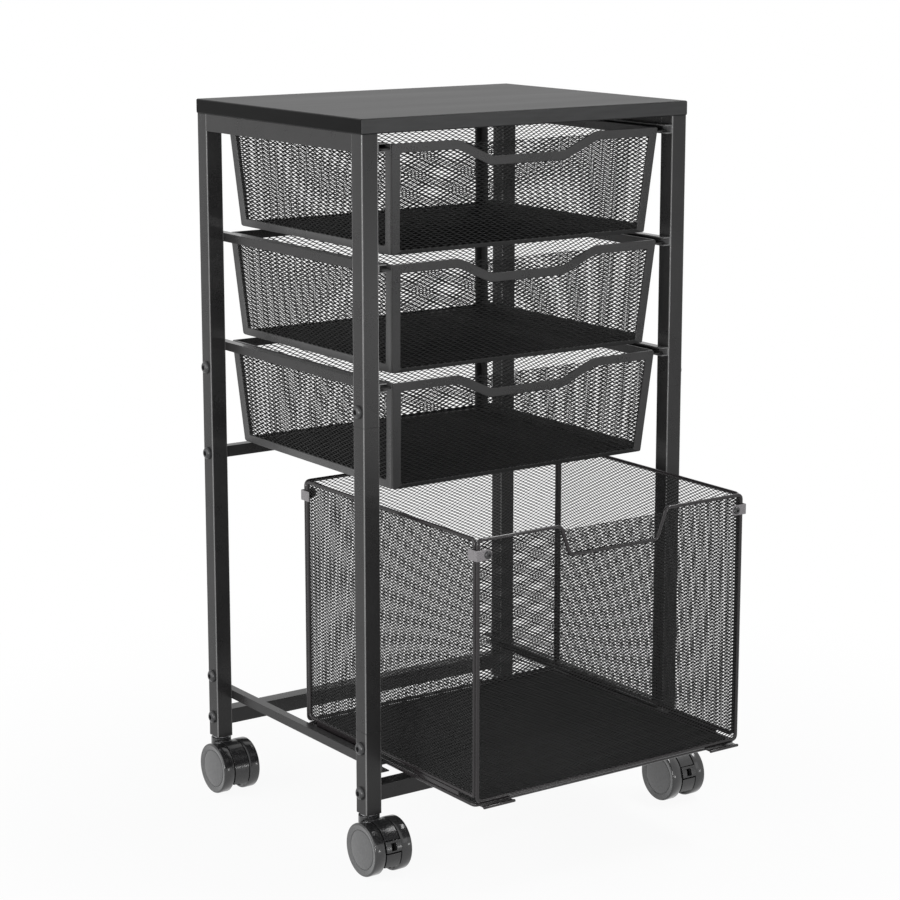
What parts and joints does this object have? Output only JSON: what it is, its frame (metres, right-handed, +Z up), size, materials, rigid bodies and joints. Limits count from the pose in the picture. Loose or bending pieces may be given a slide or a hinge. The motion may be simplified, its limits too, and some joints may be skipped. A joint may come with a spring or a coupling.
{
  "type": "mobile file cart",
  "caption": "Rolling office cart with a flat top, mesh drawers in side runners and a sliding mesh box for hanging files, on twin-wheel casters.",
  "frame": {"origin": "on the floor, under the middle of the part's box as it rests with the file box drawn out", "axes": "+X to the right seen from the front, +Y to the back, +Z up; the front faces -Y"},
  "size_m": [0.426, 0.4634, 0.751],
  "materials": {
    "board": "black laminate, semi-gloss",
    "frame_paint": "black powder coat, satin",
    "drawer_paint": "black powder coat on expanded metal",
    "box_paint": "black gloss coat on wire and expanded metal",
    "hood_plastic": "black, glossy",
    "wheel_plastic": "dark grey, smooth",
    "bright_steel": "bright zinc"
  },
  "bodies": {
    "frame": {"top_board": "board", "upper_side_frame_left": "frame_paint", "lower_side_frame_left": "frame_paint", "leg_middle_front_left": "frame_paint", "leg_middle_rear_left": "frame_paint", "upper_side_frame_right": "frame_paint", "lower_side_frame_right": "frame_paint", "leg_middle_front_right": "frame_paint", "leg_middle_rear_right": "frame_paint", "rail_front_low": "frame_paint", "rail_rear_low": "frame_paint", "rail_rear_middle": "frame_paint", "caster_front_left_stem": "bright_steel", "caster_front_right_stem": "bright_steel", "caster_rear_left_stem": "bright_steel", "caster_rear_right_stem": "bright_steel"},
    "drawer_upper": {"drawer_upper_front": "drawer_paint", "drawer_upper_back": "drawer_paint", "drawer_upper_left": "drawer_paint", "drawer_upper_right": "drawer_paint", "drawer_upper_floor": "drawer_paint"},
    "drawer_middle": {"drawer_middle_front": "drawer_paint", "drawer_middle_back": "drawer_paint", "drawer_middle_left": "drawer_paint", "drawer_middle_right": "drawer_paint", "drawer_middle_floor": "drawer_paint"},
    "drawer_lower": {"drawer_lower_front": "drawer_paint", "drawer_lower_back": "drawer_paint", "drawer_lower_left": "drawer_paint", "drawer_lower_right": "drawer_paint", "drawer_lower_floor": "drawer_paint"},
    "file_box": {"file_box_front": "box_paint", "file_box_back": "box_paint", "file_box_left": "box_paint", "file_box_right": "box_paint", "file_box_tray": "box_paint", "file_box_clip_front_left": "box_paint", "file_box_clip_rear_left": "box_paint", "file_box_tie_left": "box_paint", "file_box_slide_left": "box_paint", "file_box_clip_front_right": "box_paint", "file_box_clip_rear_right": "box_paint", "file_box_tie_right": "box_paint", "file_box_slide_right": "box_paint"},
    "caster_front_left": {"caster_front_left_hood": "hood_plastic"},
    "caster_front_left_wheel_left": {"caster_front_left_wheel_left": "wheel_plastic"},
    "caster_front_left_wheel_right": {"caster_front_left_wheel_right": "wheel_plastic"},
    "brake_lever_left": {"brake_lever_left": "hood_plastic"},
    "caster_front_right": {"caster_front_right_hood": "hood_plastic"},
    "caster_front_right_wheel_left": {"caster_front_right_wheel_left": "wheel_plastic"},
    "caster_front_right_wheel_right": {"caster_front_right_wheel_right": "wheel_plastic"},
    "brake_lever_right": {"brake_lever_right": "hood_plastic"},
    "caster_rear_left": {"caster_rear_left_hood": "hood_plastic"},
    "caster_rear_left_wheel_left": {"caster_rear_left_wheel_left": "wheel_plastic"},
    "caster_rear_left_wheel_right": {"caster_rear_left_wheel_right": "wheel_plastic"},
    "caster_rear_right": {"caster_rear_right_hood": "hood_plastic"},
    "caster_rear_right_wheel_left": {"caster_rear_right_wheel_left": "wheel_plastic"},
    "caster_rear_right_wheel_right": {"caster_rear_right_wheel_right": "wheel_plastic"}
  },
  "joints": [
    {"name": "drawer_upper_slide", "type": "slide", "parent": "frame", "child": "drawer_upper", "axis": [0, -1, 0], "range_m": [0, 0.2]},
    {"name": "drawer_middle_slide", "type": "slide", "parent": "frame", "child": "drawer_middle", "axis": [0, -1, 0], "range_m": [0, 0.2]},
    {"name": "drawer_lower_slide", "type": "slide", "parent": "frame", "child": "drawer_lower", "axis": [0, -1, 0], "range_m": [0, 0.2]},
    {"name": "file_box_slide", "type": "slide", "parent": "frame", "child": "file_box", "axis": [0, -1, 0], "range_m": [-0.144, 0.06]},
    {"name": "caster_front_left_swivel", "type": "hinge", "parent": "frame", "child": "caster_front_left", "pos_m": [-0.191, -0.07517, 0.0273], "axis": [0, 0, 1], "continuous": true},
    {"name": "caster_front_left_wheel_left_spin", "type": "hinge", "parent": "caster_front_left", "child": "caster_front_left_wheel_left", "pos_m": [-0.191, -0.09347, 0.0273], "axis": [1, 0, 0], "continuous": true},
    {"name": "caster_front_left_wheel_right_spin", "type": "hinge", "parent": "caster_front_left", "child": "caster_front_left_wheel_right", "pos_m": [-0.191, -0.09347, 0.0273], "axis": [1, 0, 0], "continuous": true},
    {"name": "brake_lever_left_press", "type": "hinge", "parent": "caster_front_left", "child": "brake_lever_left", "pos_m": [-0.191, -0.11415, 0.03323], "axis": [1, 0, 0], "range_deg": [0, 10]},
    {"name": "caster_front_right_swivel", "type": "hinge", "parent": "frame", "child": "caster_front_right", "pos_m": [0.191, -0.07517, 0.0273], "axis": [0, 0, 1], "continuous": true},
    {"name": "caster_front_right_wheel_left_spin", "type": "hinge", "parent": "caster_front_right", "child": "caster_front_right_wheel_left", "pos_m": [0.191, -0.09347, 0.0273], "axis": [1, 0, 0], "continuous": true},
    {"name": "caster_front_right_wheel_right_spin", "type": "hinge", "parent": "caster_front_right", "child": "caster_front_right_wheel_right", "pos_m": [0.191, -0.09347, 0.0273], "axis": [1, 0, 0], "continuous": true},
    {"name": "brake_lever_right_press", "type": "hinge", "parent": "caster_front_right", "child": "brake_lever_right", "pos_m": [0.191, -0.11415, 0.03323], "axis": [1, 0, 0], "range_deg": [0, 10]},
    {"name": "caster_rear_left_swivel", "type": "hinge", "parent": "frame", "child": "caster_rear_left", "pos_m": [-0.191, 0.22073, 0.0273], "axis": [0, 0, 1], "continuous": true},
    {"name": "caster_rear_left_wheel_left_spin", "type": "hinge", "parent": "caster_rear_left", "child": "caster_rear_left_wheel_left", "pos_m": [-0.191, 0.20242, 0.0273], "axis": [1, 0, 0], "continuous": true},
    {"name": "caster_rear_left_wheel_right_spin", "type": "hinge", "parent": "caster_rear_left", "child": "caster_rear_left_wheel_right", "pos_m": [-0.191, 0.20242, 0.0273], "axis": [1, 0, 0], "continuous": true},
    {"name": "caster_rear_right_swivel", "type": "hinge", "parent": "frame", "child": "caster_rear_right", "pos_m": [0.191, 0.22073, 0.0273], "axis": [0, 0, 1], "continuous": true},
    {"name": "caster_rear_right_wheel_left_spin", "type": "hinge", "parent": "caster_rear_right", "child": "caster_rear_right_wheel_left", "pos_m": [0.191, 0.20242, 0.0273], "axis": [1, 0, 0], "continuous": true},
    {"name": "caster_rear_right_wheel_right_spin", "type": "hinge", "parent": "caster_rear_right", "child": "caster_rear_right_wheel_right", "pos_m": [0.191, 0.20242, 0.0273], "axis": [1, 0, 0], "continuous": true}
  ]
}
